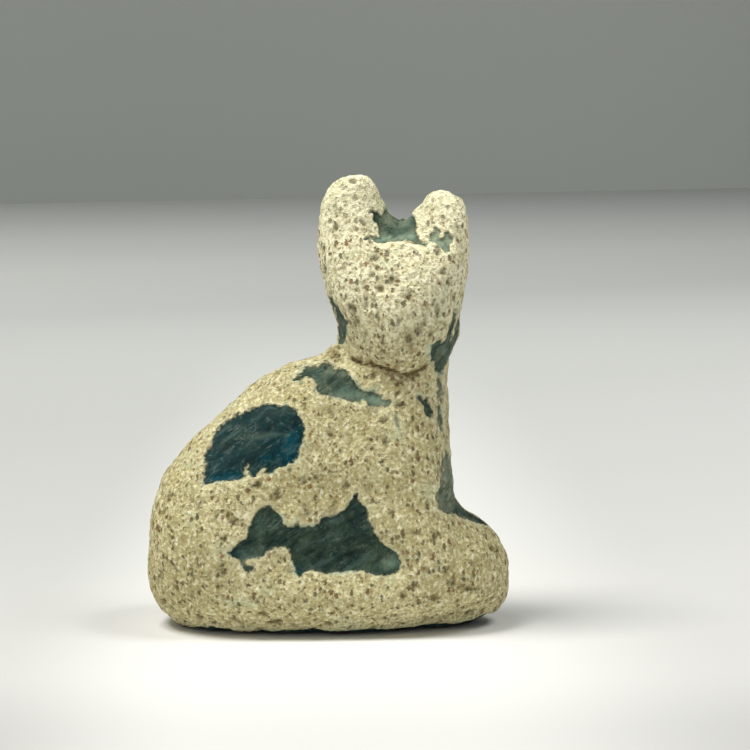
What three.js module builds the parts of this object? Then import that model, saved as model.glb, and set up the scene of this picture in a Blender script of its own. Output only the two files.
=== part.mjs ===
// A small seated cat amulet, moulded in one piece of faience, its head turned to look out over its flank.
// Millimetres, +Z up. The chest and forepaws point along +X, and the face looks along -Y.
// The origin is on the flat underside, at the middle of the box around the piece.

import * as THREE from 'three';
import { mergeVertices } from 'three/addons/utils/BufferGeometryUtils.js';

const { clamp, degToRad, smoothstep } = THREE.MathUtils;

// Height from the flat underside to the tip of the taller ear, in millimetres.
const HEIGHT = 14.0;

// Facets around the piece and rows from the middle of the underside to the top of the head.
const AROUND = 64;
const ROWS = 60;

// The figure is worked out in shares of its height: x from rump to paws, y through it, z up.
// Outline of the body and neck, square on to the flank. The underside cuts it at z = 0, and its top is inside
// the head.
const BODY_OUTLINE = [
  [-0.272, -0.037], [-0.356, 0.004], [-0.398, 0.064], [-0.409, 0.149], [-0.399, 0.264], [-0.360, 0.357],
  [-0.275, 0.448], [-0.178, 0.530], [-0.087, 0.585], [-0.029, 0.602], [0.014, 0.621], [0.025, 0.674],
  [0.061, 0.747], [0.243, 0.747], [0.287, 0.681], [0.279, 0.624], [0.258, 0.576], [0.266, 0.448],
  [0.274, 0.341], [0.287, 0.276], [0.318, 0.246], [0.365, 0.208], [0.394, 0.153], [0.400, 0.091],
  [0.389, 0.044], [0.342, 0.008], [0.225, -0.034], [0.114, -0.053], [-0.019, -0.060], [-0.163, -0.055],
];

// Outline of the face and ears, square on to the face.
const HEAD_OUTLINE = [
  [-0.025, 0.858], [-0.020, 0.798], [-0.007, 0.736], [0.015, 0.683], [0.039, 0.623], [0.085, 0.570],
  [0.154, 0.545], [0.218, 0.568], [0.253, 0.616], [0.274, 0.665], [0.293, 0.732], [0.303, 0.798],
  [0.305, 0.858], [0.303, 0.907], [0.288, 0.946], [0.254, 0.967], [0.219, 0.961], [0.196, 0.933],
  [0.160, 0.906], [0.126, 0.927], [0.107, 0.963], [0.085, 0.996], [0.046, 1.002], [0.005, 0.979],
  [-0.021, 0.928],
];

// Half thickness of the body across the flanks, and how far in from its outline the flanks begin, by height.
const BODY_HALF = [[-0.05, 0.180], [0.05, 0.188], [0.18, 0.184], [0.32, 0.170], [0.46, 0.152], [0.56, 0.134],
  [0.63, 0.112], [0.70, 0.105]];
const BODY_EDGE = [[-0.05, 0.26], [0.10, 0.19], [0.25, 0.15], [0.50, 0.13]];
// How far the narrower forepaws lose thickness, and from which x on.
const PAW_TAPER = 0.04;
const PAW_START = 0.20;

// Modelling on both flanks, each a soft rise or fall: centre x, z, spread in x, z, height. They are the haunch,
// the ribs and shoulder, the hind foot, the hollow above it, the foreleg, and the two ends of the base.
const FLANK_MODELLING = [
  [-0.19, 0.200, 0.13, 0.140, 0.018],
  [0.03, 0.420, 0.15, 0.100, 0.014],
  [0.02, 0.085, 0.24, 0.035, 0.012],
  [0.00, 0.185, 0.15, 0.045, -0.022],
  [0.22, 0.250, 0.05, 0.160, 0.010],
  [-0.33, -0.020, 0.12, 0.070, -0.030],
  [0.31, -0.020, 0.14, 0.070, -0.050],
];

// The head stands a little forward of the body towards the viewer of the face.
const HEAD_Y = -0.025;
const HEAD_EDGE = 0.11;
const FACE_HALF = 0.142;
const NAPE_HALF = 0.135;
// The muzzle swells out of the face, as above.
const MUZZLE = [0.145, 0.720, 0.090, 0.100, 0.022];
// The face leans back up to its brow, the ears thin towards their tips, and the crown between them drops back
// behind the brow.
const FACE_LEAN = 0.035;
const FACE_FROM = 0.68;
const FACE_TO = 0.90;
const EAR_THINNING = 0.045;
const EAR_FROM = 0.78;
const EAR_TO = 0.98;
const BROW_DROP = 0.030;
const BROW_LOW = 0.842;
const BROW_HIGH = 0.876;
const BROW_LEFT = [0.055, 0.135];
const BROW_RIGHT = [0.180, 0.250];
// How softly the head runs into the neck.
const NECK_BLEND = 0.02;

// The rows fan out from points along a line up the inside of the figure. Each entry: share of the rows, the
// point x, y, z, the spread of the fan in x, y, z, and how far it tilts up, in degrees. Rows before the first
// entry shrink to the middle of the flat underside.
const FLAT_SHARE = 2 / ROWS;
const FANS = [
  [FLAT_SHARE, 0.00, 0.00, 0.00, 0.36, 0.18, 0.13, 0],
  [0.08, 0.00, 0.00, 0.02, 0.36, 0.18, 0.13, 0],
  [0.29, -0.01, 0.00, 0.26, 0.34, 0.18, 0.20, 4],
  [0.42, 0.04, 0.00, 0.44, 0.26, 0.16, 0.18, 24],
  [0.50, 0.13, 0.00, 0.57, 0.18, 0.14, 0.16, 12],
  [0.59, 0.14, -0.02, 0.67, 0.17, 0.14, 0.14, -22],
  [0.68, 0.14, -0.03, 0.77, 0.16, 0.15, 0.14, 0],
  [0.76, 0.15, -0.03, 0.81, 0.16, 0.14, 0.15, 20],
  [1.00, 0.16, -0.03, 0.82, 0.16, 0.12, 0.14, 90],
];

// The straight sides of the smooth closed curve through an outline's points.
function sidesThrough(outline, stepsPerPoint) {
  const knots = outline.map(([x, z]) => new THREE.Vector3(x, 0, z));
  const curve = new THREE.CatmullRomCurve3(knots, true, 'catmullrom', 0.5);
  const line = curve.getPoints(outline.length * stepsPerPoint);
  return line.slice(1).map((end, i) => {
    const start = line[i];
    const length = start.distanceTo(end);
    return {
      start,
      end,
      length,
      ex: (end.x - start.x) / length,
      ez: (end.z - start.z) / length,
    };
  });
}

// How deep (x, z) lies inside an outline, negative outside: a smooth distance with no creases in the middle.
// It is the root of 2 over the sum, along all the sides, of 1 over the distance cubed.
function depthInside(x, z, sides) {
  let pull = 0;
  let inside = false;
  for (const { start, end, length, ex, ez } of sides) {
    const dx = x - start.x;
    const dz = z - start.z;
    const along = dx * ex + dz * ez;
    const rest = length - along;
    const off = (dx * ez - dz * ex) ** 2 + 1e-8;
    pull += (rest / Math.sqrt(off + rest * rest) + along / Math.sqrt(off + along * along)) / off;
    if ((start.z > z) !== (end.z > z) && dx < (dz / ez) * ex) {
      inside = !inside;
    }
  }
  return (inside ? 1 : -1) * Math.sqrt(2 / pull);
}

// A rounded slab with the given outline depth: zero on its surface and negative inside.
function pillow(depth, y, edge, half) {
  const rim = Math.max(1 - depth / edge, 0);
  return ((rim ** 2.1 + (Math.abs(y) / half) ** 2.1) ** (1 / 2.1) - 1) * Math.min(edge, half);
}

// A soft bell-shaped rise over (x, z).
function rise(x, z, [centreX, centreZ, spreadX, spreadZ, height]) {
  return height * Math.exp(-(((x - centreX) / spreadX) ** 2) - ((z - centreZ) / spreadZ) ** 2);
}

// The values at a key in a table whose rows begin with their key, straight between its rows.
function lookUp(table, key) {
  const held = clamp(key, table[0][0], table[table.length - 1][0]);
  const next = Math.max(1, table.findIndex((row) => row[0] >= held));
  const [low, high] = [table[next - 1], table[next]];
  const share = (held - low[0]) / (high[0] - low[0]);
  return low.slice(1).map((value, i) => value + (high[i + 1] - value) * share);
}

// The two forms joined softly where they meet.
function blend(a, b, radius) {
  const share = clamp(0.5 + (0.5 * (b - a)) / radius, 0, 1);
  return b * (1 - share) + a * share - radius * share * (1 - share);
}

const bodySides = sidesThrough(BODY_OUTLINE, 3);
const headSides = sidesThrough(HEAD_OUTLINE, 4);

function bodyAt(x, y, z) {
  const taper = PAW_TAPER * clamp((x - PAW_START) / 0.2, 0, 1) ** 2;
  const modelling = FLANK_MODELLING.reduce((sum, entry) => sum + rise(x, z, entry), 0);
  const half = lookUp(BODY_HALF, z)[0] - taper + modelling;
  return pillow(depthInside(x, z, bodySides), y, lookUp(BODY_EDGE, z)[0], half);
}

function headAt(x, y, z) {
  const thinning = EAR_THINNING * smoothstep(z, EAR_FROM, EAR_TO);
  const betweenEars = smoothstep(x, ...BROW_LEFT) * (1 - smoothstep(x, ...BROW_RIGHT));
  const drop = BROW_DROP * smoothstep(z, BROW_LOW, BROW_HIGH) * betweenEars;
  const lean = FACE_LEAN * smoothstep(z, FACE_FROM, FACE_TO);
  const face = FACE_HALF + rise(x, z, MUZZLE) - lean - drop;
  const half = (y < HEAD_Y ? face : NAPE_HALF) - thinning;
  return pillow(depthInside(x, z, headSides), y - HEAD_Y, HEAD_EDGE, half);
}

// The whole figure: zero on its surface and negative inside.
function figureAt({ x, y, z }) {
  return blend(bodyAt(x, y, z), headAt(x, y, z), NECK_BLEND);
}

// Where a ray from inside the figure first leaves it, found by short strides and then by halving the last one.
function leavePoint(ray) {
  const stride = 0.012;
  const halvings = 24;
  const probe = new THREE.Vector3();
  let inner = 0;
  let outer = stride;
  while (figureAt(ray.at(outer, probe)) <= 0) {
    inner = outer;
    outer += stride;
  }
  for (let i = 0; i < halvings; i += 1) {
    const middle = (inner + outer) / 2;
    if (figureAt(ray.at(middle, probe)) <= 0) {
      inner = middle;
    } else {
      outer = middle;
    }
  }
  return ray.at((inner + outer) / 2, probe);
}

// A ball's mesh, drawn out along the fans on to the figure's surface.
function figureGeometry() {
  const ball = new THREE.SphereGeometry(1, AROUND, ROWS);
  ball.rotateX(Math.PI / 2);
  ball.deleteAttribute('uv');
  ball.deleteAttribute('normal');
  const position = ball.getAttribute('position');
  const onBall = new THREE.Vector3();
  for (let i = 0; i < position.count; i += 1) {
    onBall.fromBufferAttribute(position, i);
    const share = Math.acos(clamp(-onBall.z, -1, 1)) / Math.PI;
    const around = Math.atan2(onBall.y, onBall.x);
    const [x, y, z, spreadX, spreadY, spreadZ, tilt] = lookUp(FANS, share);
    const level = Math.cos(degToRad(tilt));
    const direction = new THREE.Vector3(
      spreadX * level * Math.cos(around),
      spreadY * level * Math.sin(around),
      spreadZ * Math.sin(degToRad(tilt)),
    );
    const point = leavePoint(new THREE.Ray(new THREE.Vector3(x, y, z), direction.normalize()));
    point.multiplyScalar(Math.min(share / FLAT_SHARE, 1));
    position.setXYZ(i, point.x, point.y, point.z);
  }

  ball.computeBoundingBox();
  ball.scale(...new Array(3).fill(HEIGHT / ball.boundingBox.max.z));
  const closed = mergeVertices(ball, 1e-4);
  closed.computeBoundingBox();
  const middle = closed.boundingBox.getCenter(new THREE.Vector3());
  closed.translate(-middle.x, -middle.y, 0);
  closed.computeVertexNormals();
  return closed;
}

const faience = new THREE.MeshStandardMaterial({ color: 0xc8be98, roughness: 0.9, metalness: 0.0 });

const amulet = new THREE.Group();
const cat = new THREE.Mesh(figureGeometry(), faience);
cat.name = 'cat_amulet';
amulet.add(cat);

export default amulet;
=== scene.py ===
import math

import bpy
import numpy as np
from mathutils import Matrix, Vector


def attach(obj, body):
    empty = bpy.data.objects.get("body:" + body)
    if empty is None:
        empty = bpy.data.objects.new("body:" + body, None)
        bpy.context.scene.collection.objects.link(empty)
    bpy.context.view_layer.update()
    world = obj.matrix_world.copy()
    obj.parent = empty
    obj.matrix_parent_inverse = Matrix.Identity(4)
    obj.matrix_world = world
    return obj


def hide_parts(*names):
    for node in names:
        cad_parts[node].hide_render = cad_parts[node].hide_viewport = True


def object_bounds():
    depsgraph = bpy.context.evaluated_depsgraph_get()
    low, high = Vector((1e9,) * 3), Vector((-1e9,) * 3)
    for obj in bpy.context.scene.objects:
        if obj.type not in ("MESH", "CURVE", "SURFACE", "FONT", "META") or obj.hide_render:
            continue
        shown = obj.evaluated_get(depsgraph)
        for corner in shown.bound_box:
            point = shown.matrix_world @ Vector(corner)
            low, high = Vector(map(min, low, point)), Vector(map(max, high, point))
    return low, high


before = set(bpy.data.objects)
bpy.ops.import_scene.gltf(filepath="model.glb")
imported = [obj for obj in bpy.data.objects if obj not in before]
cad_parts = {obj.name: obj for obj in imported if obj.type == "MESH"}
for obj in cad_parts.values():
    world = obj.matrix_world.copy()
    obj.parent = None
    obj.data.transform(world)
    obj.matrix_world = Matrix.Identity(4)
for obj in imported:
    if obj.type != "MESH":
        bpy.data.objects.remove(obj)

cad_low, cad_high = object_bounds()


# The cat's form. The real one is crushed quartz paste pressed by hand into a shallow mould: a seated cat
# side on, its head turned out over the flank, standing on the flat left by the mould's edge. Shares of its
# height: x from rump to paws, y through it, z up.
height_mm = (cad_high.z - cad_low.z) * 1000

body_outline = [
    (-0.272, -0.037), (-0.356, 0.004), (-0.398, 0.064), (-0.409, 0.149), (-0.399, 0.264), (-0.360, 0.357),
    (-0.275, 0.448), (-0.178, 0.530), (-0.087, 0.585), (-0.029, 0.602), (0.014, 0.621), (0.025, 0.674),
    (0.061, 0.747), (0.243, 0.747), (0.287, 0.681), (0.279, 0.624), (0.258, 0.576), (0.266, 0.448),
    (0.274, 0.341), (0.287, 0.276), (0.318, 0.246), (0.365, 0.208), (0.394, 0.153), (0.400, 0.091),
    (0.389, 0.044), (0.342, 0.008), (0.225, -0.034), (0.114, -0.053), (-0.019, -0.060), (-0.163, -0.055),
]
head_outline = [
    (-0.025, 0.858), (-0.020, 0.798), (-0.007, 0.736), (0.015, 0.683), (0.039, 0.623), (0.085, 0.570),
    (0.154, 0.545), (0.218, 0.568), (0.253, 0.616), (0.274, 0.665), (0.293, 0.732), (0.303, 0.798),
    (0.305, 0.858), (0.303, 0.907), (0.288, 0.946), (0.254, 0.967), (0.219, 0.961), (0.196, 0.933),
    (0.160, 0.906), (0.126, 0.927), (0.107, 0.963), (0.085, 0.996), (0.046, 1.002), (0.005, 0.979),
    (-0.021, 0.928),
]
# Half thickness across the flanks, and how far in from the outline the flanks begin, at each height.
flank_heights = [-0.05, 0.05, 0.18, 0.32, 0.46, 0.56, 0.63, 0.70]
flank_halves = [0.180, 0.188, 0.184, 0.170, 0.152, 0.134, 0.112, 0.105]
edge_heights = [-0.05, 0.10, 0.25, 0.50]
edge_depths = [0.26, 0.19, 0.15, 0.13]
# Haunch, ribs and shoulder, hind foot, the hollow above it, foreleg, and the two ends of the base:
# centre x, z, spread in x, z, and height.
flank_modelling = [
    (-0.19, 0.200, 0.13, 0.140, 0.018),
    (0.03, 0.420, 0.15, 0.100, 0.014),
    (0.02, 0.085, 0.24, 0.035, 0.012),
    (0.00, 0.185, 0.15, 0.045, -0.022),
    (0.22, 0.250, 0.05, 0.160, 0.010),
    (-0.33, -0.020, 0.12, 0.070, -0.030),
    (0.31, -0.020, 0.14, 0.070, -0.050),
]
muzzle = (0.145, 0.720, 0.090, 0.100, 0.022)
# The forepaws are thinner from paw_start on. The head's middle plane lies a little towards the eye.
paw_taper, paw_start = 0.04, 0.20
face_plane, head_edge, face_half, nape_half = -0.025, 0.11, 0.142, 0.135
ear_thinning, brow_drop, face_lean = 0.045, 0.030, 0.035
neck_blend = 0.02
roundness = 2.1


def rounded_line(points, steps):
    """Closed curve through the points: between two of them a cubic that leaves each along the line from the
    one before it to the one after it."""
    p = np.array(points)
    before, here, there, beyond = (np.roll(p, s, 0)[:, None, :] for s in (1, 0, -1, -2))
    t = (np.arange(steps) / steps)[None, :, None]
    square = 2 * before - 5 * here + 4 * there - beyond
    cube = beyond - 3 * there + 3 * here - before
    return (here + 0.5 * t * (there - before + t * (square + t * cube))).reshape(-1, 2)


def side_lengths(line):
    """Each side of a closed line: its start, its length and its direction."""
    start = line
    along = np.roll(line, -1, 0) - line
    length = np.hypot(along[:, 0], along[:, 1])
    return zip(start, length, along / length[:, None])


def depth_within(x, z, line):
    """Smooth depth inside a closed line, negative outside: the root of 2 over the sum, along all its sides,
    of 1 over the distance cubed."""
    pull = np.zeros(x.shape)
    inside = np.zeros(x.shape, bool)
    for (start_x, start_z), length, (ex, ez) in side_lengths(line):
        along = (x - start_x) * ex + (z - start_z) * ez
        off = ((x - start_x) * ez - (z - start_z) * ex) ** 2 + 1e-8
        rest = length - along
        pull += (rest / np.sqrt(off + rest * rest) + along / np.sqrt(off + along * along)) / off
        if ez != 0:
            crosses = (start_z > z) != (start_z + length * ez > z)
            inside ^= crosses & (x - start_x < (z - start_z) / ez * ex)
    return np.where(inside, 1, -1) * np.sqrt(2 / pull)


# The depth depends on x and z alone, so it is worked out once on a fine lattice and read off from that.
lattice_step = 0.0025
lattice_left, lattice_right, lattice_bottom, lattice_top = -0.66, 0.70, -0.16, 1.36
lattice_x, lattice_z = np.meshgrid(np.arange(lattice_left, lattice_right, lattice_step),
                                   np.arange(lattice_bottom, lattice_top, lattice_step))
body_lattice = depth_within(lattice_x, lattice_z, rounded_line(body_outline, 3))
head_lattice = depth_within(lattice_x, lattice_z, rounded_line(head_outline, 4))


def read_lattice(lattice, x, z):
    """The lattice's value at (x, z), straight between its four nearest points both ways."""
    column = np.clip((x - lattice_left) / lattice_step, 0, lattice.shape[1] - 1.001)
    row = np.clip((z - lattice_bottom) / lattice_step, 0, lattice.shape[0] - 1.001)
    i, j = row.astype(int), column.astype(int)
    a, b = row - i, column - j
    low = lattice[i, j] * (1 - b) + lattice[i, j + 1] * b
    high = lattice[i + 1, j] * (1 - b) + lattice[i + 1, j + 1] * b
    return low * (1 - a) + high * a


def swell(x, z, place):
    """Bell-shaped rise over (x, z): its height times e to the minus squared distance from its centre, each
    way measured in its own spread."""
    centre_x, centre_z, spread_x, spread_z, rise = place
    return rise * np.exp(-(((x - centre_x) / spread_x) ** 2) - ((z - centre_z) / spread_z) ** 2)


def eased(value, start, end):
    """0 before start, 1 after end, and 3 t squared minus 2 t cubed between them."""
    t = np.clip((value - start) / (end - start), 0, 1)
    return t * t * (3 - 2 * t)


def pillowed(depth, y, edge, half):
    """Rounded slab, zero on its surface and negative inside: (1 - depth over edge) and (y over half), each
    to the power of the roundness, added up, then the root of that power, less 1."""
    rim = np.maximum(1 - depth / edge, 0)
    across = np.abs(y) / half
    return ((rim ** roundness + across ** roundness) ** (1 / roundness) - 1) * np.minimum(edge, half)


def cat_form(x, y, z):
    """The whole cat, zero on its surface and negative inside: the body's slab and the head's slab, run
    softly into each other where they meet."""
    half = np.interp(z, flank_heights, flank_halves) - paw_taper * np.clip((x - paw_start) / 0.2, 0, 1) ** 2
    half = half + sum(swell(x, z, place) for place in flank_modelling)
    body = pillowed(read_lattice(body_lattice, x, z), y, np.interp(z, edge_heights, edge_depths), half)
    between_ears = eased(x, 0.055, 0.135) * (1 - eased(x, 0.180, 0.250))
    face = face_half + swell(x, z, muzzle) - face_lean * eased(z, 0.68, 0.90)
    face = face - brow_drop * eased(z, 0.842, 0.876) * between_ears
    half = np.where(y < face_plane, face, nape_half) - ear_thinning * eased(z, 0.78, 0.98)
    head = pillowed(read_lattice(head_lattice, x, z), y - face_plane, head_edge, half)
    share = np.clip(0.5 + 0.5 * (head - body) / neck_blend, 0, 1)
    return head * (1 - share) + body * share - neck_blend * share * (1 - share)


# The skin's rows fan out from points up the inside of the cat: share of the rows, the point x, y, z, the
# fan's spread in x, y, z, and its tilt up in degrees. Rows before the first entry shrink to one point.
foot_share = 0.06
fans = np.array([
    (foot_share, 0.00, 0.00, 0.00, 0.36, 0.18, 0.13, 0),
    (0.10, 0.00, 0.00, 0.02, 0.36, 0.18, 0.13, 0),
    (0.30, -0.01, 0.00, 0.26, 0.34, 0.18, 0.20, 4),
    (0.42, 0.04, 0.00, 0.44, 0.26, 0.16, 0.18, 24),
    (0.50, 0.13, 0.00, 0.57, 0.18, 0.14, 0.16, 12),
    (0.59, 0.14, -0.02, 0.67, 0.17, 0.14, 0.14, -22),
    (0.68, 0.14, -0.03, 0.77, 0.16, 0.15, 0.14, 0),
    (0.76, 0.15, -0.03, 0.81, 0.16, 0.14, 0.15, 20),
    (1.00, 0.16, -0.03, 0.82, 0.16, 0.12, 0.14, 90),
])
longest_reach, stride, halvings = 0.52, 0.012, 14
skin_rows, skin_around = 249, 396


def skin_points(rows, around):
    """A grid of points on the cat: share of the rows by angle round it. From each fan's point a straight
    line runs out to where the form is first zero, found by short strides and then by halving."""
    share = np.linspace(0, 1, rows)
    x, y, z, spread_x, spread_y, spread_z, tilt = (np.interp(share, fans[:, 0], fans[:, k])[:, None]
                                                   for k in range(1, 8))
    angle = (np.arange(around) / around * 2 * math.pi)[None, :]
    tilt = np.radians(tilt)
    out = np.stack(np.broadcast_arrays(spread_x * np.cos(tilt) * np.cos(angle),
                                       spread_y * np.cos(tilt) * np.sin(angle),
                                       spread_z * np.sin(tilt) + 0 * angle), -1)
    out /= np.linalg.norm(out, axis=-1, keepdims=True)
    start = np.stack(np.broadcast_arrays(x + 0 * angle, y + 0 * angle, z + 0 * angle), -1)
    inner = np.zeros(out.shape[:2])
    outer = np.full(out.shape[:2], longest_reach)
    met = np.zeros(out.shape[:2], bool)
    for reach in np.arange(stride, longest_reach, stride):
        place = start + out * reach
        clear = cat_form(place[..., 0], place[..., 1], place[..., 2]) > 0
        outer = np.where(clear & ~met, reach, outer)
        met |= clear
        inner = np.where(met, inner, reach)
    for _ in range(halvings):
        middle = (inner + outer) / 2
        place = start + out * middle[..., None]
        clear = cat_form(place[..., 0], place[..., 1], place[..., 2]) > 0
        outer = np.where(clear, middle, outer)
        inner = np.where(clear, inner, middle)
    reach = (inner + outer) / 2 * np.minimum(share / foot_share, 1)[:, None]
    return start + out * reach[..., None]


skin = skin_points(skin_rows, skin_around)
skin /= skin[..., 2].max()
skin[..., :2] -= (skin[..., :2].min((0, 1)) + skin[..., :2].max((0, 1))) / 2
skin *= height_mm


def outward(points):
    """Unit normals of the closed grid: the step round it crossed with the step up it. The two ends point
    straight down and up."""
    round_it = np.roll(points, -1, 1) - np.roll(points, 1, 1)
    up_it = np.gradient(points, axis=0)
    normal = np.cross(round_it, up_it)
    normal[0], normal[-1] = (0, 0, -1), (0, 0, 1)
    return normal / np.maximum(np.linalg.norm(normal, axis=-1, keepdims=True), 1e-12)


normal = outward(skin)
on_foot = np.broadcast_to(np.linspace(0, 1, len(skin))[:, None] <= foot_share, skin.shape[:2])
normal[on_foot] = (0, 0, -1)


# The glaze. The real one was blue-green all over, and is left only in patches where the pale crust has come
# away: hip, belly, shoulder, chest, the front of the chest, the neck, between the ears, and round the foot.
def grit(points, size, seed, waves=56):
    """Even random relief of about one size, with a mean of 0 and a spread of 1: cosine waves of nearly that
    length in random directions, added up and divided by the root of half their number."""
    random = np.random.default_rng(seed)
    way = random.normal(size=(waves, 3))
    way /= np.linalg.norm(way, axis=1, keepdims=True)
    way *= 2 * math.pi / (size * random.uniform(0.75, 1.35, (waves, 1)))
    shift = random.uniform(0, 2 * math.pi, waves)
    total = np.zeros(points.shape[:-1])
    for direction, start in zip(way, shift):
        total += np.cos(points @ direction + start)
    return total / math.sqrt(waves / 2)


# The eye that looks at the near flank: how far out from it and how far up. The patches are drawn on a sheet
# that it sees square on, a little behind the middle of the cat.
eye_angle = math.radians(7)
eye_mm, sheet_mm, sheet_foot = 70.0, 70.4, 6.90
middle_mm = 7.0


def seen_from_flank(points):
    """Where each point shows on the sheet, in mm right of the middle and up from the foot: its offset from
    the middle of the height, times the sheet's distance over its own distance along the sight."""
    back = np.array([0, -math.cos(eye_angle), math.sin(eye_angle)])
    up = np.array([0, math.sin(eye_angle), math.cos(eye_angle)])
    offset = points - np.array([0, 0, middle_mm])
    nearer = sheet_mm / (eye_mm - offset @ back)
    return offset[..., 0] * nearer, (offset @ up) * nearer + sheet_foot


def depth_in_patch(u, v, corners):
    """Signed distance to a patch's straight-sided outline, positive inside: the least to any of its sides."""
    least = np.full(u.shape, 1e9)
    inside = np.zeros(u.shape, bool)
    for (start_u, start_v), length, (eu, ev) in side_lengths(np.array(corners)):
        along = np.clip((u - start_u) * eu + (v - start_v) * ev, 0, length)
        least = np.minimum(least, np.hypot(u - start_u - along * eu, v - start_v - along * ev))
        if ev != 0:
            crosses = (start_v > v) != (start_v + length * ev > v)
            inside ^= crosses & (u - start_u < (v - start_v) / ev * eu)
    return np.where(inside, least, -least)


def along_run(points, start, end):
    """How far each point lies along a straight run, 0 at its start and 1 at its end, and how far off it."""
    span = end - start
    along = np.clip((points - start) @ span / (span @ span), 0, 1)
    return along, np.linalg.norm(points - start - along[..., None] * span, axis=-1)


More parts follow.
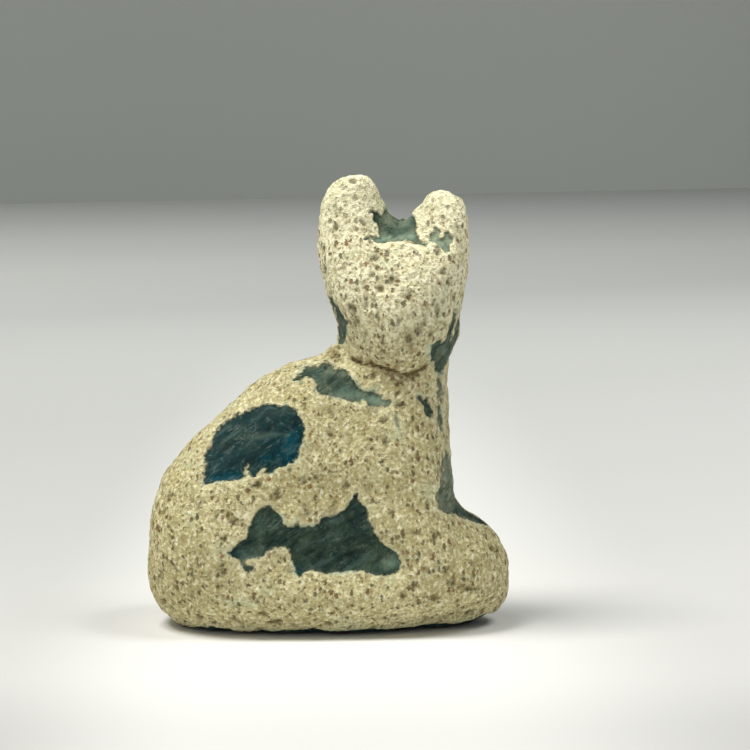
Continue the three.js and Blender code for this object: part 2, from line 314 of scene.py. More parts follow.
# Each patch as it shows from the flank, in mm: its outline, its tone from grey-green at 0 to blue at 1.
flank_patches = {
    "hip": (0.64, [
        (-3.90, 5.12), (-3.68, 5.53), (-3.55, 5.96), (-3.33, 6.24), (-3.00, 6.43), (-2.68, 6.62),
        (-2.35, 6.75), (-1.97, 6.81), (-1.58, 6.77), (-1.26, 6.73), (-1.01, 6.59), (-0.85, 6.37),
        (-0.77, 6.07), (-0.79, 5.74), (-0.90, 5.42), (-1.01, 5.14), (-1.09, 4.95), (-1.28, 4.93),
        (-1.42, 4.71), (-1.53, 4.82), (-1.67, 4.79), (-1.88, 4.68), (-1.97, 4.71), (-2.18, 4.57),
        (-2.35, 4.54), (-2.46, 4.71), (-2.57, 4.87), (-2.59, 4.57), (-2.68, 4.44), (-3.11, 4.41),
        (-3.44, 4.41), (-3.77, 4.33), (-3.90, 4.30), (-3.96, 4.44), (-3.90, 4.54), (-3.98, 4.65),
        (-3.90, 4.82), (-3.93, 4.98)]),
    "belly": (0.42, [
        (-3.17, 2.18), (-2.86, 2.46), (-2.55, 2.68), (-2.49, 3.12), (-2.21, 3.49), (-1.90, 3.68),
        (-1.68, 3.46), (-1.49, 3.31), (-1.37, 3.02), (-1.09, 2.96), (-0.99, 3.18), (-0.93, 2.96),
        (-0.43, 2.99), (-0.15, 3.31), (0.19, 3.27), (0.51, 3.55), (0.69, 3.80), (0.85, 3.99), (0.97, 3.74),
        (1.25, 3.49), (1.19, 3.18), (1.44, 2.87), (1.63, 2.49), (1.97, 2.28), (2.22, 2.06), (2.28, 1.81),
        (2.13, 1.56), (1.81, 1.43), (1.44, 1.43), (1.19, 1.56), (1.00, 1.62), (0.75, 1.59), (0.44, 1.53),
        (-0.06, 1.53), (-0.31, 1.59), (-0.62, 1.62), (-0.80, 1.53), (-0.93, 1.40), (-1.05, 1.56),
        (-1.15, 1.93), (-1.24, 2.24), (-1.49, 2.34), (-1.80, 2.28), (-2.05, 2.06), (-2.27, 1.93),
        (-2.33, 1.75), (-2.46, 1.50), (-2.61, 1.62), (-2.80, 1.87), (-3.08, 2.03)]),
    "shoulder": (0.22, [
        (-1.12, 7.52), (-0.99, 7.70), (-0.79, 7.85), (-0.66, 8.03), (-0.51, 8.00), (-0.30, 7.95),
        (-0.15, 8.05), (0.00, 8.08), (0.11, 7.95), (0.26, 7.85), (0.46, 7.87), (0.62, 7.75), (0.74, 7.59),
        (0.82, 7.47), (0.95, 7.34), (1.02, 7.21), (1.23, 7.16), (1.43, 7.26), (1.59, 7.11), (1.81, 7.03),
        (1.97, 6.88), (1.94, 6.75), (1.79, 6.68), (1.64, 6.60), (1.43, 6.68), (1.23, 6.75), (1.02, 6.83),
        (0.82, 6.88), (0.56, 6.88), (0.36, 6.96), (0.16, 7.03), (-0.05, 7.06), (-0.25, 7.03),
        (-0.35, 7.16), (-0.40, 7.36), (-0.48, 7.57), (-0.63, 7.67), (-0.79, 7.59), (-0.97, 7.52)]),
    "chest": (0.34, [
        (2.76, 6.98), (2.89, 7.03), (3.01, 6.96), (3.19, 7.01), (3.22, 6.75), (3.27, 6.50), (3.19, 6.27),
        (3.09, 6.39), (3.01, 6.65), (2.91, 6.83)]),
    "chest hair line": (0.08, [
        (3.38, 7.60), (3.47, 7.58), (3.51, 6.85), (3.56, 5.94), (3.47, 5.93), (3.42, 6.75)]),
    "chest fleck": (0.00, [
        (2.05, 6.34), (2.12, 6.40), (2.19, 6.24), (2.25, 6.04), (2.22, 5.93), (2.15, 6.04), (2.09, 6.17)]),
    "crown": (0.25, [
        (1.09, 11.88), (1.23, 12.02), (1.54, 12.04), (1.71, 12.10), (1.60, 12.30), (1.47, 12.44),
        (1.40, 12.59), (1.28, 12.75), (1.37, 12.92), (1.47, 12.82), (1.68, 12.54), (1.85, 12.60),
        (2.16, 12.55), (2.43, 12.60), (2.69, 12.66), (2.76, 12.41), (2.76, 12.17), (2.88, 11.96),
        (3.12, 11.82), (3.05, 11.74), (2.71, 11.84), (2.43, 11.89), (2.02, 11.89), (1.75, 11.84),
        (1.47, 11.86)]),
    "ear": (0.06, [
        (3.17, 12.03), (3.26, 12.20), (3.39, 12.27), (3.53, 12.20), (3.74, 12.13), (3.91, 11.93),
        (3.94, 11.72), (3.84, 11.51), (3.67, 11.48), (3.53, 11.58), (3.36, 11.75), (3.22, 11.86)]),
    "right neck": (0.30, [
        (4.08, 9.94), (4.00, 9.49), (3.91, 9.05), (3.87, 8.67), (3.67, 8.26), (3.46, 8.08), (3.26, 8.12),
        (3.19, 8.33), (3.26, 8.57), (3.53, 8.74), (3.70, 8.91), (3.87, 9.35), (3.95, 9.77)]),
    "chest front": (0.12, [
        (3.66, 5.45), (3.78, 5.10), (3.92, 4.58), (4.02, 3.90), (4.20, 3.60), (4.75, 3.25), (4.62, 3.12),
        (4.25, 3.24), (3.93, 3.37), (3.69, 3.37), (3.47, 3.49), (3.37, 3.80), (3.47, 4.33), (3.57, 4.74)]),
    "left neck": (0.32, [
        (-0.09, 10.11), (0.09, 10.12), (0.25, 9.85), (0.37, 9.58), (0.53, 9.42), (0.56, 9.06),
        (0.53, 8.68), (0.32, 8.62), (0.29, 9.08), (0.25, 9.35), (0.10, 9.63), (-0.04, 9.94)]),
}
# The same for the far flank, which keeps fewer and simpler ones, in x and z with x still towards the paws.
far_patches = {
    "far haunch": (0.60, [
        (-3.6, 3.2), (-3.3, 3.9), (-2.6, 4.3), (-1.9, 4.2), (-1.5, 3.6), (-1.7, 3.0), (-2.4, 2.7),
        (-3.2, 2.8)]),
    "far ribs": (0.25, [
        (-0.2, 5.9), (0.5, 6.3), (1.3, 6.1), (1.9, 5.6), (1.6, 5.2), (0.8, 5.3), (0.2, 5.1), (-0.3, 5.4)]),
    "far nape": (0.15, [(1.0, 10.6), (1.7, 11.0), (2.5, 10.9), (2.8, 10.3), (2.2, 9.9), (1.4, 10.0)]),
}
# Glaze that wraps round the front of the chest and the throat, as points along it: x, y, z, radius, tone.
wrapped_runs = [
    [(3.78, -0.15, 5.50, 0.22, 0.12), (3.86, -0.20, 4.90, 0.55, 0.12), (4.00, -0.20, 4.15, 0.75, 0.13),
     (4.30, -0.20, 3.62, 0.68, 0.22), (4.80, -0.15, 3.27, 0.30, 0.45)],
    [(4.05, -0.35, 9.95, 0.22, 0.34), (3.93, -0.40, 9.35, 0.42, 0.30), (3.75, -0.50, 8.75, 0.50, 0.28),
     (3.50, -1.10, 8.30, 0.36, 0.28)],
]

u, v = seen_from_flank(skin)
near_side = np.clip((-normal[..., 1] + 0.05) / 0.1, 0, 1)
glaze = np.full(u.shape, -2.0)
tone = np.zeros(u.shape)
# A patch ends raggedly where the flank turns out of sight.
turned = 0.08 * grit(skin, 0.9, 31)
for patch_tone, corners in flank_patches.values():
    depth = np.minimum(depth_in_patch(u, v, corners), turned + 0.06 - 1.2 * normal[..., 1])
    tone = np.where(depth > glaze, patch_tone, tone)
    glaze = np.maximum(glaze, depth)
for patch_tone, corners in far_patches.values():
    depth = depth_in_patch(skin[..., 0], skin[..., 2], corners) + 0.16 * grit(skin, 0.9, 32)
    depth = np.minimum(depth, turned + 1.2 * normal[..., 1])
    tone = np.where(depth > glaze, patch_tone, tone)
    glaze = np.maximum(glaze, depth)
for run in wrapped_runs:
    for start, end in zip(run, run[1:]):
        along, off = along_run(skin, np.array(start[:3]), np.array(end[:3]))
        depth = start[3] + along * (end[3] - start[3]) - off
        tone = np.where(depth > glaze, start[4] + along * (end[4] - start[4]), tone)
        glaze = np.maximum(glaze, depth)

# The ear's ring has a bare middle, the belly's tip a chip and the hip's lower edge a notch: the middle u,
# v, and half the length and height. The crown's glaze runs over between the ears towards the nape.
bare_spots = [(3.56, 12.02, 0.12, 0.11), (-2.50, 1.86, 0.24, 0.09), (-2.57, 4.68, 0.05, 0.12)]
for middle_u, middle_v, long, tall in bare_spots:
    bare = (np.hypot((u - middle_u) / long, (v - middle_v) / tall) - 1) * min(long, tall)
    glaze = np.where(near_side > 0, np.minimum(glaze, bare), glaze)
over_crown = 0.62 - np.hypot(skin[..., 0] - 2.15, 0.55 * (skin[..., 1] + 0.4)) + 0.14 * grit(skin, 0.8, 33)
over_crown = np.where(skin[..., 2] > 12.0, np.minimum(over_crown, 12.95 - skin[..., 2]), -2.0)
tone = np.where(over_crown > glaze, 0.20, tone)
glaze = np.maximum(glaze, over_crown)

# Where the glaze is bluer or greener than the rest of its patch, and where it is worn to a pale film: the
# middle u, v, the spread in u, v, and how much.
tone_places = [
    (-1.20, 5.50, 0.50, 0.55, 0.34), (-1.75, 5.10, 0.45, 0.25, 0.24), (-3.25, 4.46, 0.80, 0.18, 0.42),
    (-3.05, 2.10, 0.30, 0.30, 0.36), (-1.05, 1.60, 0.25, 0.20, 0.26), (-1.30, 3.05, 0.30, 0.20, 0.16),
    (0.75, 3.75, 0.25, 0.25, 0.16), (1.75, 1.95, 0.45, 0.35, -0.12), (-0.75, 7.70, 0.45, 0.35, 0.12),
    (0.10, 7.45, 0.40, 0.30, 0.10), (4.20, 3.45, 0.60, 0.20, 0.16), (1.40, 12.70, 0.15, 0.30, 0.22),
]
worn_places = [
    (-2.45, 1.90, 0.34, 0.18, 0.6), (1.50, 6.92, 0.50, 0.16, 0.6),
    (0.70, 7.10, 0.45, 0.14, 0.5), (-2.00, 5.82, 0.42, 0.05, 0.6), (1.95, 1.80, 0.25, 0.14, 0.5),
    (3.65, 8.45, 0.12, 0.12, 0.4), (2.10, 6.20, 0.20, 0.20, 0.5), (3.55, 11.90, 0.45, 0.40, 0.5),
    (1.60, 12.00, 0.50, 0.14, 0.5), (2.50, 12.05, 0.50, 0.14, 0.4),
]
# Where the glaze is broken up, with the crust between its bits.
broken_places = [
    (3.55, 11.90, 0.55, 0.50, 0.10), (1.40, 6.95, 0.80, 0.30, 0.09), (3.70, 8.60, 0.45, 0.60, 0.08),
    (0.20, 9.40, 0.40, 0.80, 0.04), (3.50, 5.00, 0.30, 0.60, 0.05), (-1.00, 7.60, 0.30, 0.30, 0.06),
    (-1.75, 4.72, 0.75, 0.22, 0.08),
]
for place in tone_places:
    tone = tone + near_side * swell(u, v, place)
worn = np.zeros(u.shape)
for place in worn_places:
    worn = np.maximum(worn, near_side * swell(u, v, place))
gaps = np.maximum(grit(skin, 0.34, 15), -0.4)
for place in broken_places:
    glaze = glaze - near_side * swell(u, v, place) * gaps

# Every patch's edge is ragged. A thin line of glaze is left above the table, higher under the paws and gone
# at the rump, and more of it on the underside.
ragged = 0.018 * grit(skin, 0.42, 11) + 0.012 * grit(skin, 0.2, 12)
foot_line = 0.17 + 0.07 * eased(skin[..., 0], 1.8, 4.4) - 0.25 * eased(-skin[..., 0], 3.8, 4.8)
foot_glaze = foot_line + 0.03 * grit(skin, 2.4, 13) - skin[..., 2] + 0.5 * ragged
foot_glaze = np.where(on_foot, 1.0 + 0.5 * grit(skin, 1.6, 14), foot_glaze)
tone = np.where(foot_glaze > glaze, 0.75, tone)
glaze = np.maximum(glaze + ragged, foot_glaze)
in_glaze = eased(glaze, -0.03, 0.05)


# The weathered paste. The real skin is porous and gritty: soft lumps, grains of crushed quartz, small pits
# where grains fell out, the glaze a little below the crust, and a crumb of grit in the corner of the nape.
soft_lumps = 0.022 * grit(skin, 1.9, 21) + 0.013 * grit(skin, 0.95, 22)
grains = 0.009 * grit(skin, 0.42, 23) + 0.007 * grit(skin, 0.24, 24)
pits = eased(grit(skin, 0.42, 25), 1.45, 2.6)
# The largest pits of the face: the middle u, v, and the size.
for pit_u, pit_v, size in [(1.47, 11.35, 0.13), (2.00, 10.63, 0.15), (2.50, 10.13, 0.15), (3.59, 10.88, 0.10),
                           (0.85, 9.35, 0.12), (2.53, 8.82, 0.15), (2.84, 9.04, 0.13), (1.16, 9.88, 0.10)]:
    pits = np.maximum(pits, near_side * swell(u, v, (pit_u, pit_v, size, size, 1.0)))
pits *= 1 - in_glaze
crust_lip = np.exp(-((glaze + 0.09) / 0.07) ** 2)
pit_depth, glaze_sunk, lip_height = 0.07, 0.055, 0.012
relief = soft_lumps + grains * (1 - 0.75 * in_glaze)
relief += lip_height * crust_lip - pit_depth * pits - glaze_sunk * in_glaze

crumb_place = swell(skin[..., 0], skin[..., 2], (0.22, 8.42, 0.33, 0.30, 1.0))
crumb_place *= np.exp(-((skin[..., 1] + 0.3) / 0.9) ** 2)
relief += crumb_place * (0.08 + 0.14 * grit(skin, 0.32, 26))

# A groove runs under the jaw, where the head was pressed on to the chest; the finish darkens it with painted
# shade.
jaw_depth, jaw_half = 0.11, 0.075
jaw_line = [(0.72, 8.20), (1.02, 8.05), (1.33, 7.98), (1.69, 7.90), (2.03, 7.79), (2.25, 7.73), (2.50, 7.67),
            (2.86, 7.79), (3.11, 7.93)]
jaw_distance = np.full(u.shape, 9.0)
for start, end in zip(jaw_line, jaw_line[1:]):
    off = along_run(np.stack([u, v], -1), np.array(start), np.array(end))[1]
    jaw_distance = np.minimum(jaw_distance, off)
jaw_distance += 2 * (1 - near_side)
relief -= jaw_depth * np.exp(-(jaw_distance / jaw_half) ** 2)

# The underside is calmer and only sinks, and the relief dies out where the rows close up at both ends.
relief = np.where(on_foot, -np.abs(relief) * 0.5, relief)
relief *= eased(np.minimum(np.arange(len(skin)), np.arange(len(skin))[::-1]), 0, 4)[:, None]

points = skin + normal * relief[..., None]
points[..., 2] = np.maximum(points[..., 2], 0)

# The foot's rim is rubbed round, most at the rump, so that the cat stands on a flat smaller than its foot.
rump = eased(-skin[..., 0], 3.6, 5.2)
rim_height, rim_depth = 0.26 + 0.34 * rump, 0.10 + 0.45 * rump
drop = np.clip(1 - skin[..., 2] / rim_height, 0, 1)
aside = normal[..., :2] / np.maximum(np.linalg.norm(normal[..., :2], axis=-1, keepdims=True), 1e-9)
points[..., :2] -= aside * (rim_depth * (1 - np.sqrt(1 - drop ** 2)) * ~on_foot)[..., None]
rim_row = int(on_foot[:, 0].sum())
spoke = (np.arange(rim_row) / rim_row)[:, None, None]
points[:rim_row, :, :2] = points[0, 0, :2] * (1 - spoke) + points[rim_row, :, :2] * spoke

# The gritty skin is drawn in by a hair so that it lies in the solid's own box.
low, high = points.min((0, 1)), points.max((0, 1))
box_low, box_high = np.array(cad_low) * 1000, np.array(cad_high) * 1000
points = box_low + (points - low) * ((box_high - box_low) / (high - low))
points *= 0.001

# The grid becomes one closed mesh: a fan at the foot's middle, one at the crown's, and four-sided faces between.
rows, around = points.shape[:2]
ring = np.arange(around)
next_ring = (ring + 1) % around
first = 1 + np.arange(rows - 3)[:, None] * around
quads = np.stack([first + ring, first + next_ring, first + around + next_ring, first + around + ring], -1)
last = 1 + (rows - 3) * around
foot_fan = np.stack([np.zeros(around, int), 1 + next_ring, 1 + ring], -1)
crown_fan = np.stack([np.full(around, last + around), last + ring, last + next_ring], -1)
faces = quads.reshape(-1, 4).tolist() + foot_fan.tolist() + crown_fan.tolist()


def skin_values(values):
    """A grid's values in the mesh's order: the foot's middle, the rows between, the crown's middle."""
    return np.concatenate([values[:1, 0], values[1:-1].reshape(-1, *values.shape[2:]), values[-1:, 0]])


cat_mesh = bpy.data.meshes.new("cat")
cat_mesh.from_pydata(skin_values(points).tolist(), [], faces)
cat_mesh.polygons.foreach_set("use_smooth", [True] * len(cat_mesh.polygons))
for name, values in {"glaze": glaze, "tone": tone, "worn": worn, "pits": pits,
                     "jaw": jaw_distance, "dirt": crumb_place}.items():
    held = cat_mesh.attributes.new(name, "FLOAT", "POINT")
    held.data.foreach_set("value", skin_values(values).astype(np.float32))
cat_mesh.update()
cat = bpy.data.objects.new("cat", cat_mesh)
bpy.context.scene.collection.objects.link(cat)


# The finish: one shader for crust and glaze, mixed by the glaze's depth so that the edge stays sharp. The
# crust is matt pale quartz grit with brown, rust and grey-green specks; the glaze is dulled blue-green glass.
finish = bpy.data.materials.new("worn_faience")
finish.use_nodes = True
tree = finish.node_tree
tree.nodes.clear()


def put(kind, settings=None, **inputs):
    """A node: its settings by name, and its inputs by name or number, each a value or another output."""
    made = tree.nodes.new("ShaderNode" + kind)
    for name, value in (settings or {}).items():
        setattr(made, name, value)
    for name, value in inputs.items():
        socket = made.inputs[int(name[1:]) if name[0] == "_" else name.replace("_", " ")]
        if isinstance(value, bpy.types.NodeSocket):
            tree.links.new(value, socket)
        else:
            socket.default_value = value
    return made


def blend_colour(share, below, above, way="MIX"):
    """Two colours mixed by a share."""
    return put("Mix", {"data_type": "RGBA", "blend_type": way}, _0=share, _6=below, _7=above).outputs[2]


def sum_of(way, a, b=0.0, c=0.0, held=False):
    """One sum on numbers."""
    return put("Math", {"operation": way, "use_clamp": held}, _0=a, _1=b, _2=c).outputs[0]


def laid_on(below, colour, share, strength):
    """A colour laid over another by a share, weakened to a strength."""
    return blend_colour(sum_of("MULTIPLY", share, strength), below, colour)


def colour_ramp(share, stops):
    """A colour read off a ramp by a share: its stops are places from 0 to 1 with their colours."""
    ramp = put("ValToRGB", Fac=share)
    elements = ramp.color_ramp.elements
    elements[0].color, elements[1].color = (*stops[0][1], 1), (*stops[-1][1], 1)
    for place, colour in stops[1:-1]:
        elements.new(place).color = (*colour, 1)
    return ramp.outputs[0]


def ramped(value, start, end, low=0.0, high=1.0):
    """A value taken smoothly from start to end on to low to high."""
    return put("MapRange", {"interpolation_type": "SMOOTHSTEP"}, Value=value, From_Min=start, From_Max=end,
               To_Min=low, To_Max=high).outputs[0]


def painted(name):
    """One of the skin's own values."""
    return put("Attribute", {"attribute_name": name}).outputs["Fac"]


def object_mm():
    """Each point's place on its own object, in mm."""
    place = put("TexCoord").outputs["Object"]
    return put("VectorMath", {"operation": "SCALE"}, _0=place, Scale=1000.0).outputs[0]


place_mm = object_mm()


def mottle(size, detail=3.0, rough=0.55, twist=0.0):
    """Cloudy noise with features of one size in mm."""
    return put("TexNoise", Vector=place_mm, Scale=1 / size, Detail=detail, Roughness=rough,
               Distortion=twist).outputs[0]


# Places pushed about by a fraction of a millimetre, so that the specks and grains drawn by them aren't round.
pushed_mm = 0.17
warp = put("TexNoise", Vector=place_mm, Scale=9.0, Detail=3.0).outputs["Color"]
warp = put("VectorMath", {"operation": "MULTIPLY_ADD"}, _0=warp, _1=(pushed_mm,) * 3, _2=place_mm).outputs[0]


def specks(size, share, widest, shift):
    """Specks in cells of one size in mm: the share of cells that hold one, and its widest radius in cells.
    Gives the speck's cover and a random number for it."""
    moved = put("VectorMath", {"operation": "ADD"}, _0=warp, _1=(shift, shift * 0.7, shift * 1.3)).outputs[0]
    moved = put("VectorMath", {"operation": "MULTIPLY"}, _0=moved, _1=(1.0, 1.0, 0.74)).outputs[0]
    cell = put("TexVoronoi", Vector=moved, Scale=1 / size)
    chance = put("SeparateColor", Color=cell.outputs["Color"])
    radius = ramped(chance.outputs[0], 1 - share, 1.0, -0.15, widest)
    cover = ramped(sum_of("SUBTRACT", radius, cell.outputs["Distance"]), -0.16, 0.18)
    return cover, chance.outputs[1]


# Crust: deeper yellow-grey on the body and paler on the head, with grains, clots and specks over it. The head's
# paleness and the ears' fewer specks are partly the paste's own and partly painted highlight where the head and
# ears catch more light.
crust = colour_ramp(ramped(mottle(1.7, 4.0), 0.32, 0.68), [
    (0, (0.560, 0.512, 0.268)), (1, (0.680, 0.630, 0.362))])
height = put("SeparateXYZ", Vector=place_mm).outputs[2]
head_paler_and_lit = ramped(height, 7.6, 10.9)
ears = ramped(height, 12.2, 13.3)
crust = laid_on(crust, (0.985, 0.950, 0.650, 1), head_paler_and_lit, 0.96)
# Painted light: paler over the lowest millimetre above the table, standing in for light thrown up from the white
# table.
crust = blend_colour(ramped(height, 1.00, 0.25, 0.0, 0.45), crust, (0.860, 0.810, 0.500, 1))
grain_cell = put("TexVoronoi", Vector=warp, Scale=7.0)
grain_chance = put("SeparateColor", Color=grain_cell.outputs["Color"]).outputs[0]
crust = blend_colour(1.0, crust, put("CombineColor", Red=ramped(grain_chance, 0.0, 1.0, 0.84, 1.10),
                                     Green=ramped(grain_chance, 0.0, 1.0, 0.83, 1.10),
                                     Blue=ramped(grain_chance, 0.0, 1.0, 0.78, 1.14)).outputs[0], "MULTIPLY")
fine = mottle(0.11, 3.0, 0.6)
clots = mottle(0.34, 4.0, 0.6, 0.6)
crust = laid_on(crust, (0.340, 0.275, 0.115, 1), ramped(clots, 0.54, 0.34), 0.30)
# Fewer fine and brown specks on the ears and higher up: partly painted highlight on the lit head.
fine_share = sum_of("MULTIPLY_ADD", ears, -0.26, 0.56)
crust = laid_on(crust, (0.320, 0.250, 0.105, 1), ramped(fine, 0.58, 0.36), fine_share)
crust = laid_on(crust, (0.900, 0.860, 0.600, 1), ramped(fine, 0.52, 0.70), 0.80)
crust = laid_on(crust, (0.500, 0.570, 0.360, 1), ramped(mottle(0.8, 3.0), 0.58, 0.72), 0.40)

brown_cover, brown_chance = specks(0.155, 0.66, 0.44, 3.1)
brown = colour_ramp(brown_chance, [
    (0, (0.140, 0.105, 0.042)), (0.14, (0.130, 0.140, 0.080)), (0.70, (0.170, 0.100, 0.042)),
    (1, (0.300, 0.110, 0.050))])
speck_share = sum_of("MULTIPLY_ADD", ears, -0.45, sum_of("MULTIPLY_ADD", head_paler_and_lit, -0.08, 0.92))
crust = laid_on(crust, brown, brown_cover, speck_share)
dot_cover = specks(0.105, 0.75, 0.42, 8.7)[0]
crust = laid_on(crust, (0.245, 0.180, 0.075, 1), dot_cover, sum_of("MULTIPLY", speck_share, 0.85))
clot_cover = specks(0.40, 0.30, 0.30, 21.4)[0]
crust = laid_on(crust, (0.190, 0.135, 0.055, 1), clot_cover, 0.60)
pale_cover = specks(0.19, 0.40, 0.36, 14.2)[0]
crust = laid_on(crust, (0.960, 0.920, 0.670, 1), pale_cover, 0.65)
# The pits are painted near black-brown.
crust = laid_on(crust, (0.110, 0.085, 0.035, 1), painted("pits"), 0.80)
crust = laid_on(crust, (0.230, 0.165, 0.065, 1), painted("dirt"), 0.55)
# Painted shade: darker brown along the groove under the jaw, in two steps.
under_jaw_shade = sum_of("MULTIPLY_ADD", sum_of("SUBTRACT", clots, 0.5), 0.20, painted("jaw"))
crust = blend_colour(ramped(under_jaw_shade, 0.22, 0.0, 0.0, 0.40), crust, (0.250, 0.190, 0.080, 1))
crust = blend_colour(ramped(under_jaw_shade, 0.085, 0.020, 0.0, 0.85), crust, (0.140, 0.095, 0.040, 1))

# Glaze: its colour by tone, clouded, flecked, and darker along its edge.
depth = painted("glaze")
depth = sum_of("MULTIPLY_ADD", sum_of("SUBTRACT", mottle(0.15, 4.0, 0.65), 0.5), 0.22, depth)
cover = ramped(depth, -0.035, 0.045)
tone_here = sum_of("SUBTRACT", mottle(0.45, 5.0, 0.65), 0.5)
tone_here = sum_of("MULTIPLY_ADD", tone_here, 0.75, painted("tone"), held=True)
glass = colour_ramp(tone_here, [
    (0, (0.310, 0.335, 0.205)), (0.15, (0.165, 0.195, 0.126)), (0.32, (0.052, 0.084, 0.055)),
    (0.46, (0.028, 0.051, 0.038)), (0.62, (0.014, 0.037, 0.035)), (0.82, (0.001, 0.031, 0.039)),
    (1, (0.001, 0.052, 0.072))])
haze = mottle(0.28, 5.0, 0.65, 1.2)
glass = laid_on(glass, (0.170, 0.225, 0.180, 1), ramped(haze, 0.53, 0.70), 0.30)
glass = laid_on(glass, (0.008, 0.015, 0.012, 1), ramped(haze, 0.47, 0.32), 0.70)
flecks = sum_of("MULTIPLY", ramped(mottle(0.16, 3.0, 0.6), 0.58, 0.68), ramped(mottle(0.9, 2.0), 0.48, 0.60))
glass = laid_on(glass, (0.080, 0.210, 0.190, 1), flecks, 0.45)

# Fine scratches lean up to the right across the glaze. The paler streaks and pale scratch lines are partly the
# glaze's wear and partly painted sheen.
raked = put("Mapping", {"vector_type": "TEXTURE"}, Vector=place_mm, Rotation=(0, math.radians(-34), 0),
            Scale=(1.1, 1.1, 0.24)).outputs[0]
streak = put("TexNoise", Vector=raked, Scale=1.3, Detail=4.0, Roughness=0.6).outputs[0]
glass = blend_colour(ramped(streak, 0.53, 0.68, 0.0, 0.40), glass, (0.100, 0.160, 0.140, 1))
glass = blend_colour(ramped(streak, 0.47, 0.34, 0.0, 0.60), glass, (0.005, 0.014, 0.014, 1))
scratch_and_sheen = ramped(sum_of("ABSOLUTE", sum_of("SUBTRACT", streak, 0.5)), 0.030, 0.004)
scratch_and_sheen = sum_of("MULTIPLY", scratch_and_sheen, ramped(mottle(0.5, 2.0), 0.50, 0.62))
glass = laid_on(glass, (0.260, 0.320, 0.270, 1), scratch_and_sheen, 0.32)
# Darker along the glaze's edge: partly the thicker glaze there, partly painted shade of the step down from the
# crust.
glass = blend_colour(ramped(depth, 0.09, 0.0, 0.0, 0.45), glass, (0.012, 0.022, 0.018, 1))
glass = laid_on(glass, (0.300, 0.440, 0.330, 1), painted("worn"), 0.75)

# The crust's lip beside the glaze is painted paler, a painted highlight where the raised lip catches the light,
# with a breath of turquoise.
crust = laid_on(crust, (0.860, 0.820, 0.520, 1), ramped(depth, -0.22, -0.03), 0.35)
halo = sum_of("MULTIPLY", ramped(depth, -0.16, 0.0), ramped(mottle(0.7, 2.0), 0.50, 0.64))
crust = laid_on(crust, (0.360, 0.500, 0.360, 1), halo, 0.55)

# Both together, with painted shade on the last tenth of a millimetre above the table: a dark rust-brown for the
# dark line where the foot meets the table. The crust is rough and gritty, the glaze a little smoother.
colour = blend_colour(cover, crust, glass)
colour = blend_colour(ramped(height, 0.11, 0.03), colour, (0.120, 0.040, 0.010, 1))
crust_rough = ramped(fine, 0.3, 0.7, 0.98, 0.86)
glass_rough = ramped(haze, 0.3, 0.7, 0.46, 0.66)
rough = put("Mix", _0=cover, _2=crust_rough, _3=glass_rough).outputs[0]
grit_height = sum_of("ADD", sum_of("MULTIPLY", fine, 0.9), sum_of("MULTIPLY", clots, 0.6))
for speck_cover, sunk in [(brown_cover, 0.45), (dot_cover, 0.25), (clot_cover, 0.60)]:
    grit_height = sum_of("SUBTRACT", grit_height, sum_of("MULTIPLY", speck_cover, sunk))
glass_height = sum_of("MULTIPLY_ADD", mottle(0.22, 4.0, 0.6, 0.8), 0.45, sum_of("MULTIPLY", scratch_and_sheen, -0.10))
skin_height = put("Mix", _0=cover, _2=grit_height, _3=glass_height).outputs[0]
bump = put("Bump", Strength=1.0, Distance=0.00010, Height=skin_height)

shader = put("BsdfPrincipled", Base_Color=colour, Roughness=rough, Normal=bump.outputs[0])
shader.inputs["IOR"].default_value = 1.45
shader.inputs["Specular IOR Level"].default_value = 0.07
tree.links.new(shader.outputs[0], put("OutputMaterial").inputs["Surface"])
cat_mesh.materials.append(finish)

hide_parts("cat_amulet")
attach(cat, "root")


# The table: a sheet of off-white paper laid flat, and far behind it a grey wall at a slant. The paper is painted
# greyer towards the wall, to the sides and to the front, as painted shade.
def painted_sheet(name, corners):
    """A flat four-cornered sheet with a finish of its own, whose nodes come next."""
    mesh = bpy.data.meshes.new(name)
    mesh.from_pydata(corners, [], [(0, 1, 2, 3)])
    sheet = bpy.data.objects.new(name, mesh)
    bpy.context.scene.collection.objects.link(sheet)
    material = bpy.data.materials.new(name)
    material.use_nodes = True
    material.node_tree.nodes.clear()
    mesh.materials.append(material)
    return material.node_tree


def finish_sheet(colour, rough):
    """The sheet's matt shader in one colour."""
    shader = put("BsdfPrincipled", Base_Color=colour, Roughness=rough)
    shader.inputs["Specular IOR Level"].default_value = 0.15
    tree.links.new(shader.outputs[0], put("OutputMaterial").inputs["Surface"])


wall_away, wall_slope, wall_left, wall_right, wall_top = 0.415, 0.66, -0.4, 0.6, 0.5
wall_foot = [(x, wall_away + x * wall_slope, 0) for x in (wall_left, wall_right)]
wall_head = [(x, wall_away + x * wall_slope, wall_top) for x in (wall_right, wall_left)]
tree = painted_sheet("wall", wall_foot + wall_head)
# Painted light: the wall is painted darker on the left and lighter on the right, evening out the lamps' light on
# it.
wall_across = put("SeparateXYZ", Vector=put("TexCoord").outputs["Object"]).outputs[0]
grey = blend_colour(ramped(wall_across, -0.09, 0.12), (0.420, 0.444, 0.414, 1), (0.630, 0.662, 0.616, 1))
finish_sheet(grey, 0.9)

tree = painted_sheet("table", [(-1.2, -0.8, 0), (1.2, -0.8, 0), (1.2, 1.0, 0), (-1.2, 1.0, 0)])
place_mm = object_mm()
on_table = put("SeparateXYZ", Vector=place_mm)
across, away = on_table.outputs[0], on_table.outputs[1]
to_wall = sum_of("MULTIPLY_ADD", across, -wall_slope, away)
to_wall = put("MapRange", Value=to_wall, From_Min=0.0, From_Max=wall_away * 1000).outputs[0]
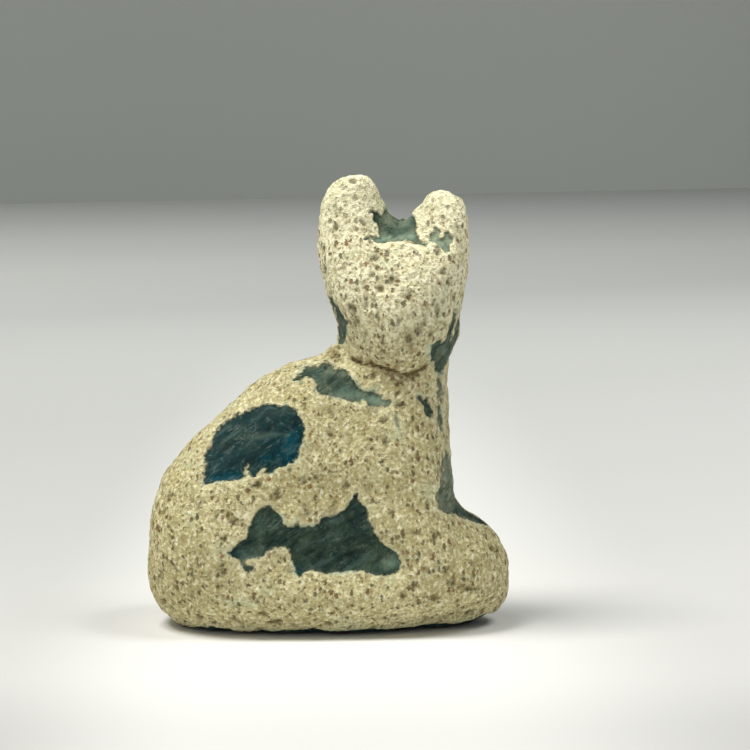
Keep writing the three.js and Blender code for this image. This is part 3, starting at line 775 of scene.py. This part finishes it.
# Painted shade: the paper's colour greys towards the wall.
paper = colour_ramp(to_wall, [
    (0, (0.765, 0.765, 0.738)), (0.055, (0.690, 0.695, 0.672)), (0.139, (0.600, 0.610, 0.585)),
    (0.313, (0.530, 0.540, 0.520)), (0.458, (0.615, 0.625, 0.600)), (0.636, (0.640, 0.655, 0.630)),
    (0.800, (0.600, 0.620, 0.595)), (1, (0.545, 0.570, 0.540))])
# Painted shade: the paper darkens to the left, to the right and to the front near the cat.
near = ramped(away, 110.0, 5.0)
shade_to_left = sum_of("MULTIPLY", ramped(across, -3.0, -10.0, 0.0, 0.25), near)
shade_to_right = sum_of("MULTIPLY", ramped(across, 3.0, 12.0, 0.0, 0.24), near)
shade_to_front = ramped(away, -6.0, -14.0, 0.0, 0.13)
sides = sum_of("ADD", shade_to_front, sum_of("ADD", shade_to_left, shade_to_right))
paper = blend_colour(sides, paper, (0.0, 0.0, 0.0, 1))
finish_sheet(paper, 0.8)


# The light: a soft window high on the left and a little in front, a weaker one on the right, a wide faint
# one low in front, and the room.
cat_middle = (0, 0, middle_mm * 0.001)


def soft_window(name, place, size, power, colour):
    """A square area light at one place, turned to face the middle of the cat."""
    light = bpy.data.lights.new(name, "AREA")
    light.shape, light.size, light.energy, light.color = "SQUARE", size, power, colour
    lamp = bpy.data.objects.new(name, light)
    lamp.location = place
    lamp.rotation_euler = (Vector(place) - Vector(cat_middle)).to_track_quat("Z", "Y").to_euler()
    bpy.context.scene.collection.objects.link(lamp)


soft_window("window", (-0.12, -0.05, 0.31), 0.13, 1.16, (1.0, 0.985, 0.95))
soft_window("far_window", (0.15, -0.03, 0.25), 0.09, 0.31, (0.98, 0.985, 1.0))
soft_window("front_window", (-0.14, -0.32, 0.12), 0.30, 0.23, (1.0, 0.99, 0.97))
world = bpy.data.worlds.new("room")
bpy.context.scene.world = world
world.use_nodes = True
world.node_tree.nodes["Background"].inputs["Color"].default_value = (0.96, 0.98, 1.0, 1)
world.node_tree.nodes["Background"].inputs["Strength"].default_value = 0.19
bpy.context.scene.view_settings.view_transform = "Standard"


# The camera: 70 mm out from the flank and 7 degrees up, aimed a little up and turned a little so that the
# cat stands low and left of centre.
aim_up, aim_right = math.radians(0.657), math.radians(1.18)
eye = bpy.data.cameras.new("eye")
eye.sensor_width = 36
eye.lens = 108.4
camera = bpy.data.objects.new("eye", eye)
eye_m = eye_mm * 0.001
camera.location = (0, -eye_m * math.cos(eye_angle), cat_middle[2] + eye_m * math.sin(eye_angle))
camera.rotation_euler = (math.pi / 2 - eye_angle + aim_up, 0, -aim_right)
eye.clip_start, eye.clip_end = 0.005, 5
bpy.context.scene.collection.objects.link(camera)
bpy.context.scene.camera = camera
